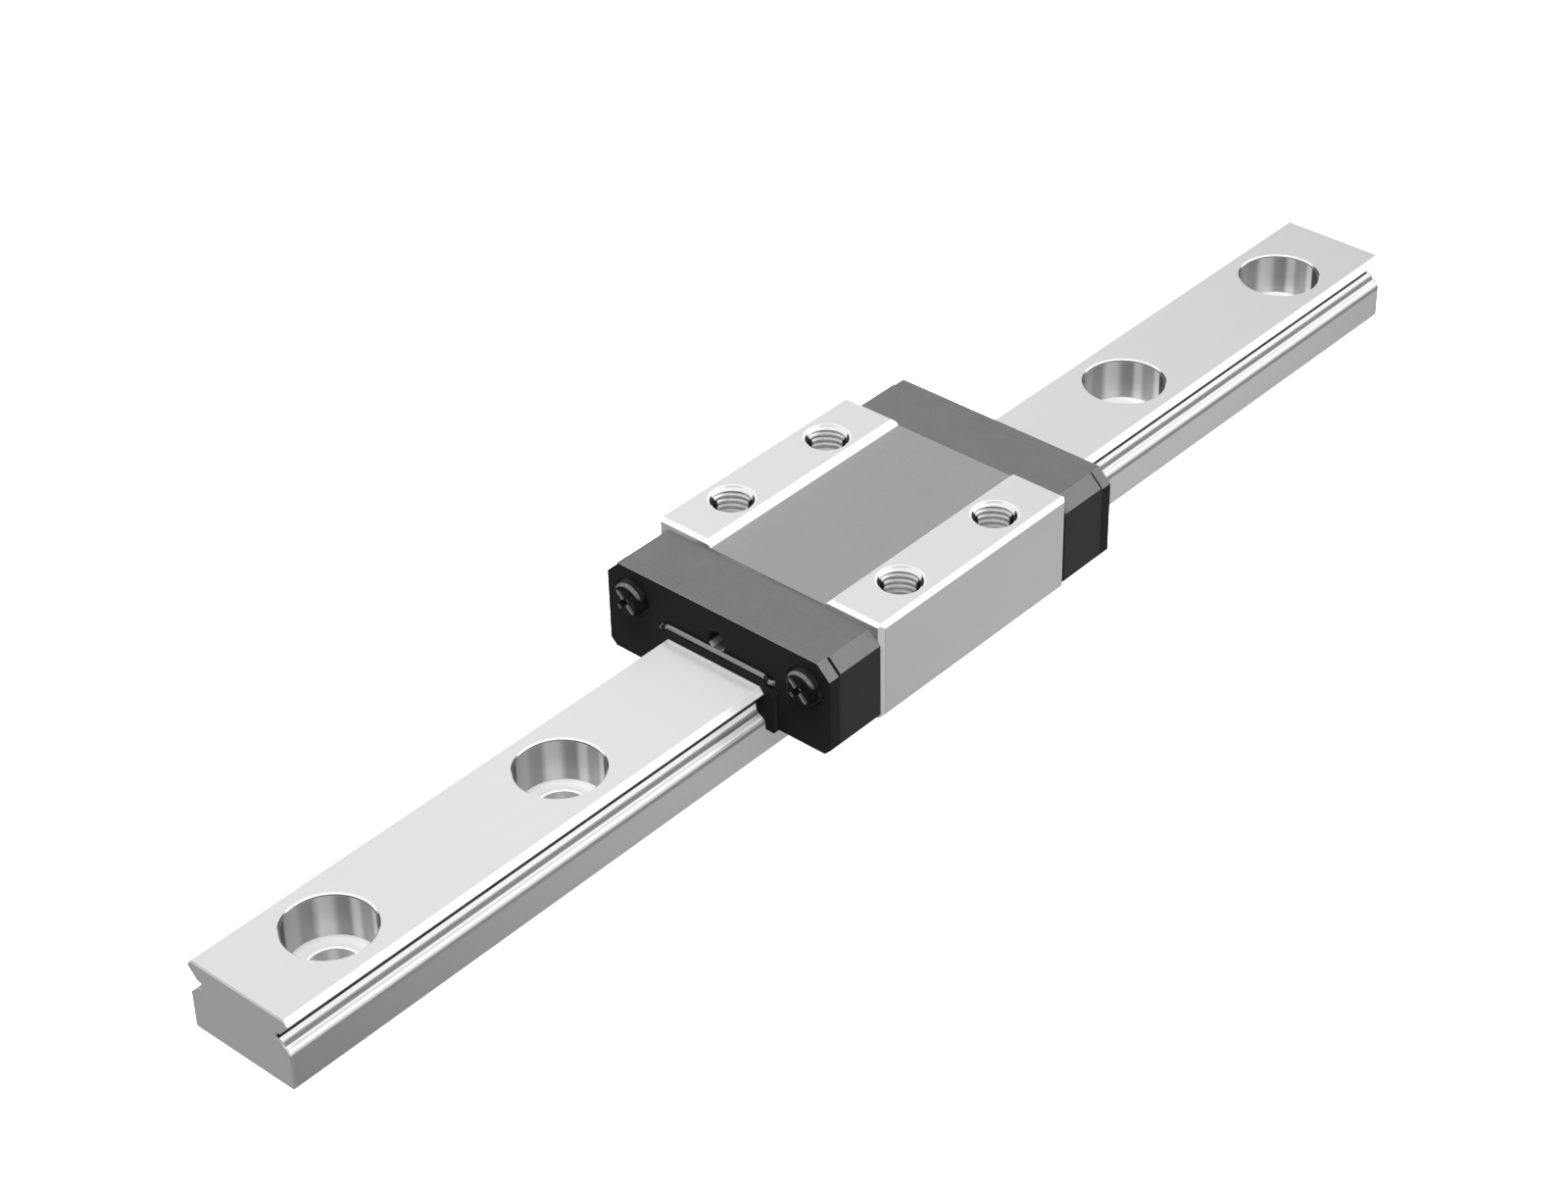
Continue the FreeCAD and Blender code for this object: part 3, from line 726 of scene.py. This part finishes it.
def cap_screw(middle_y, columns=160):
    """A domed cap screw that points along +X, turned about its own axis: the shank's radius
    follows a thread's tooth with length and angle, the dome is a quarter ellipse out from a flat
    middle, and its face sinks to the deeper floor of two crossed bars."""
    tip = -7.3
    seat = -14.55
    rim = -screw_rim
    face = -15.65
    shank = 0.8
    root = shank - 0.16
    tooth_depth = 0.15
    tooth_rise = 2.8
    point_length = 0.25
    point_share = 0.6
    head = 1.35
    flat = 0.80
    hub = 0.32
    hub_slope = 0.06
    angle = circle(columns)
    x_shank = np.linspace(tip, seat, 161)[:, None]
    phase = (x_shank / screw_pitch + angle / (2 * math.pi)) % 1.0
    tooth = np.clip(tooth_rise / 2 - tooth_rise * np.abs(phase - 0.5), 0, 1)
    point = np.clip((tip - x_shank) / point_length, 0, 1)
    r_shank = (root + tooth_depth * tooth) * (point_share + (1 - point_share) * point)
    round_off = np.linspace(0, math.pi / 2, 25)[:, None]
    r_dome = np.concatenate([flat + (head - flat) * np.cos(round_off),
                             np.linspace(flat, 0, 32)[1:, None]])
    fall = np.clip((r_dome - flat) / (head - flat), 0, 1)
    x_dome = rim + (face - rim) * np.sqrt(1 - fall**2)
    across = r_dome * np.cos(angle - driver_turn)
    along = r_dome * np.sin(angle - driver_turn)
    depth = np.maximum(driver_bar(across, along), driver_bar(along, across))
    depth = np.maximum(depth, driver_depth * smooth_step(hub - r_dome, hub_slope))
    x_face = np.maximum(x_dome + 0 * angle, face + depth)
    xs = [x_shank[:1] + 0 * angle, x_shank + 0 * angle, np.full((1, columns), seat),
          np.full((1, columns), seat), x_face]
    rs = [0 * angle[None], r_shank, np.full((1, columns), shank),
          np.full((1, columns), head), r_dome + 0 * angle]
    x = np.concatenate(xs)
    radius = np.concatenate(rs)
    y = middle_y + radius * np.cos(angle)
    z = screw_height + radius * np.sin(angle)
    return np.stack([x, y, z], -1)[None, ::-1]


def smooth_step(value, width):
    """0 below 0, 1 above width, and the cubic step between them."""
    t = np.clip(value / width, 0, 1)
    return t * t * (3 - 2 * t)


def driver_bar(along, across):
    """Depth of one bar of the driver's cross: its floor rises towards each end."""
    half_width = 0.20
    side_slope = 0.05
    end_slope = 0.06
    floor = driver_depth - 0.20 * np.abs(along)
    floor = floor * smooth_step(half_width - np.abs(across), side_slope)
    return floor * smooth_step(driver_reach - np.abs(along), end_slope)


# Pieces that replace plainer solids


def add_balls(node, count):
    """Round balls in place of a node's plainer ones."""
    points = balls(ball_centres(node, count))
    add_piece(node + "_round", points, "ball_steel", stands_for=[node])


for side in ("left", "right"):
    for row in ("load", "return"):
        add_balls(side + "_" + row + "_balls", row_count)
    for end in ("front", "rear"):
        add_balls(end + "_" + side + "_turn_balls", turn_count)

# The left half of the front wire: along the rail's groove, up behind the seal and out to its face
half_wire = [
    (-0.3, 3.5, 3.85), (-13.84, 3.5, 3.85), (-13.84, 4.95, 4.35), (-13.84, 4.95, 6.0),
    (-15.17, 4.95, 6.0), (-15.17, 4.3, 6.35),
]
wire_bend = 0.24
wire_line = bent_line(half_wire + [(x, -y, z) for x, y, z in reversed(half_wire)], wire_bend)
front_wire = tube(wire_line, wire_radius)
add_piece("front_wire_round", front_wire, "wire_steel", stands_for=["front_ball_wire"])
add_piece("rear_wire_round", half_turn(front_wire), "wire_steel", stands_for=["rear_ball_wire"])

for side, y in (("left", screw_out), ("right", -screw_out)):
    add_piece("front_" + side + "_screw_threaded", cap_screw(y), "screw_steel",
              stands_for=["front_" + side + "_cap_screw"])
    add_piece("rear_" + side + "_screw_threaded", half_turn(cap_screw(-y)), "screw_steel",
              stands_for=["rear_" + side + "_cap_screw"])

liners = np.stack([thread_liner(x, y) for x in (-thread_out_x, thread_out_x)
                   for y in (-thread_out_y, thread_out_y)])
add_piece("carriage_threads", liners, "block_steel", wrap_rows=True)

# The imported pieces' materials
for name, node in nodes.items():
    slot = next(s["material_slot"] for s in frame["record"]["subparts"] if s["node"] == name)
    node.data.materials.clear()
    node.data.materials.append(materials[slot])
    # The steel shows no dark mirror image of the black mouldings in the even studio light
    node.visible_glossy = slot not in ("cap_plastic", "seal_rubber")


# Studio


def soft_box(name, place, target, size, power):
    """A square area light that faces a target and isn't mirrored. Metres and watts."""
    light = bpy.data.lights.new(name, "AREA")
    light.size = size
    light.energy = power
    lamp = bpy.data.objects.new(name, light)
    lamp.location = place
    lamp.rotation_mode = "QUATERNION"
    lamp.rotation_quaternion = (Vector(target) - Vector(place)).to_track_quat("-Z", "Y")
    lamp.visible_camera = False
    lamp.visible_glossy = False
    bpy.context.scene.collection.objects.link(lamp)


# Brightness of the studio below the guide, and how much brighter it is above
light_below = 0.13
light_above = 0.52

# Each panel's direction, its half width and soft edge in degrees, and its brightness. A panel
# below 0 darkens a part of another one.
studio_panels = [
    ((0.604, -0.60, 0.45), 18, 18, 1.0),
    ((0.585, 0.55, 0.595), 3, 12, 0.61),
    ((0.80, 0.40, 0.40), 4, 16, -0.46),
    ((0.62, -0.51, -0.595), 1, 11, 1.90),
    ((0.76, -0.43, -0.49), 3, 8, 0.72),
    ((-0.50, 0.58, -0.62), 8, 20, 0.58),
    ((-0.53, -0.62, -0.58), 6, 14, 0.80),
]


def studio_world():
    """A plain studio: a soft base light with broad bright panels, and white to the camera."""
    world = bpy.data.worlds.new("studio")
    bpy.context.scene.world = world
    graph = Graph(world)
    look = graph.node("ShaderNodeTexCoord", output="Generated")
    level = light_below + graph.rise(graph.split(look)[2], -0.15, 0.25) * light_above
    for panel, reach, soft, bright in studio_panels:
        toward = tuple(Vector(panel).normalized())
        near = graph.vector("DOT_PRODUCT", look, toward, output="Value")
        start = math.cos(math.radians(reach + soft))
        end = math.cos(math.radians(reach))
        level = level + graph.rise(near, start, end) * bright
    seen = graph.node("ShaderNodeLightPath", output="Is Camera Ray")
    colour = graph.blend(seen, graph.grey(level), plain_grey(1.0))
    shader = graph.node("ShaderNodeBackground", (), {"Color": colour, "Strength": 1.0})
    graph.node("ShaderNodeOutputWorld", (), {"Surface": shader})


def studio_floor():
    """A pale round floor under the guide. Only the camera sees it; the panels light the rest."""
    sides = 64
    radius = 3.0
    drop = 0.00001
    mesh = bpy.data.meshes.new("floor")
    angle = circle(sides)
    rim = np.stack([radius * np.cos(angle), radius * np.sin(angle), 0 * angle - drop], -1)
    mesh.from_pydata(rim, [], [list(range(sides))])
    floor = bpy.data.objects.new("floor", mesh)
    bpy.context.scene.collection.objects.link(floor)
    material = bpy.data.materials.new("pale_floor")
    graph = Graph(material)
    shader = graph.node("ShaderNodeBsdfPrincipled", (), {
        "Base Color": plain_grey(0.80),
        "Roughness": 1.0,
        "Specular IOR Level": 0.0,
        "Emission Color": plain_grey(1.0),
        "Emission Strength": 0.92,
    })
    graph.node("ShaderNodeOutputMaterial", (), {"Surface": shader})
    mesh.materials.append(material)
    floor.visible_glossy = False
    floor.visible_diffuse = False


studio_world()
soft_box("overhead", place=(-0.06, 0.02, 0.42), target=(0, 0, 0), size=0.26, power=3.5)
studio_floor()


# Camera, where the photograph's stood

image_width = 1600
focal_pixels = 3593.4
sensor_width = 36.0
azimuth = math.radians(-48.0211)
elevation = math.radians(35.6295)
roll = math.radians(-1.26797)
aim = Vector((-0.62181, 6.83467, 0.0)) * mm
distance = 249.544 * mm
nearest_seen = 0.01
farthest_seen = 20.0

back = Vector((math.sin(azimuth) * math.cos(elevation),
               -math.cos(azimuth) * math.cos(elevation), math.sin(elevation)))
level_right = Vector((math.cos(azimuth), math.sin(azimuth), 0.0))
level_up = back.cross(level_right)
right = level_right * math.cos(roll) + level_up * math.sin(roll)
up = level_up * math.cos(roll) - level_right * math.sin(roll)
lens = bpy.data.cameras.new("camera")
lens.sensor_width = sensor_width
lens.lens = focal_pixels * sensor_width / image_width
lens.clip_start = nearest_seen
lens.clip_end = farthest_seen
camera = bpy.data.objects.new("camera", lens)
camera.matrix_world = Matrix.Translation(aim + back * distance) @ Matrix(
    (right, up, back)).transposed().to_4x4()
bpy.context.scene.collection.objects.link(camera)
bpy.context.scene.camera = camera
bpy.context.scene.view_settings.view_transform = "Standard"
